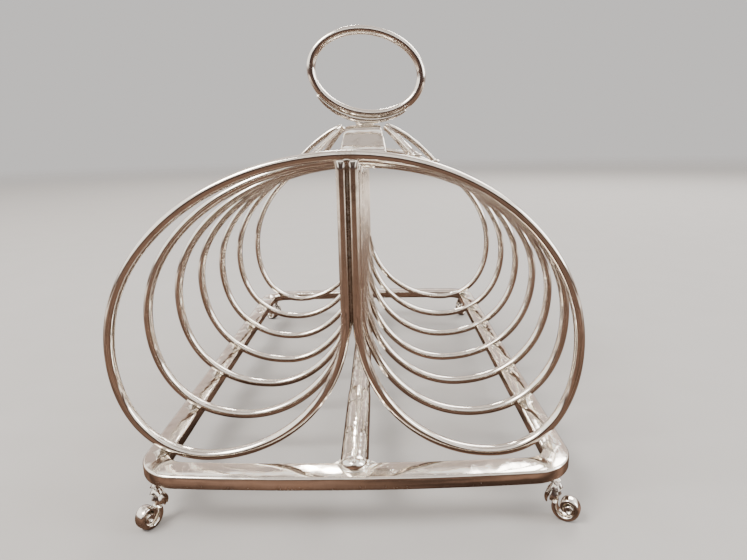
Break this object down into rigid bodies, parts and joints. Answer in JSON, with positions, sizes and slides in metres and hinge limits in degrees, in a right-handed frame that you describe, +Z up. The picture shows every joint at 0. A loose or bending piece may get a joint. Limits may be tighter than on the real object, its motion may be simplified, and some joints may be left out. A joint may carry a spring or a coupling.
{
  "type": "toast rack",
  "caption": "Silver wire toast rack with double-lobed hoops on a bowed strip frame, scroll feet and an oval ring handle.",
  "frame": {"origin": "middle of the rack's overall box, on the surface the rack stands on; the base frame's middle is 1.48 mm to the left of it, because the hoops and handle lean to the right", "axes": "+Z up, +Y along the rack from the front hoop to the rear hoop, +X to the right seen from the front"},
  "size_m": [0.1094, 0.158, 0.1121],
  "materials": {
    "silver": "polished silver with fine scratches and light tarnish in the joints"
  },
  "bodies": {
    "root": {"base_frame": "silver", "centre_rail": "silver", "hoop_1": "silver", "hoop_2": "silver", "hoop_3": "silver", "hoop_4": "silver", "hoop_5": "silver", "hoop_6": "silver", "hoop_7": "silver", "handle_ring": "silver", "ring_cradle": "silver", "handle_saddle": "silver", "rib_left": "silver", "rib_right": "silver", "rib_front_left": "silver", "rib_front_right": "silver", "rib_rear_left": "silver", "rib_rear_right": "silver", "foot_front_left": "silver", "foot_front_right": "silver", "foot_rear_left": "silver", "foot_rear_right": "silver"}
  },
  "joints": []
}
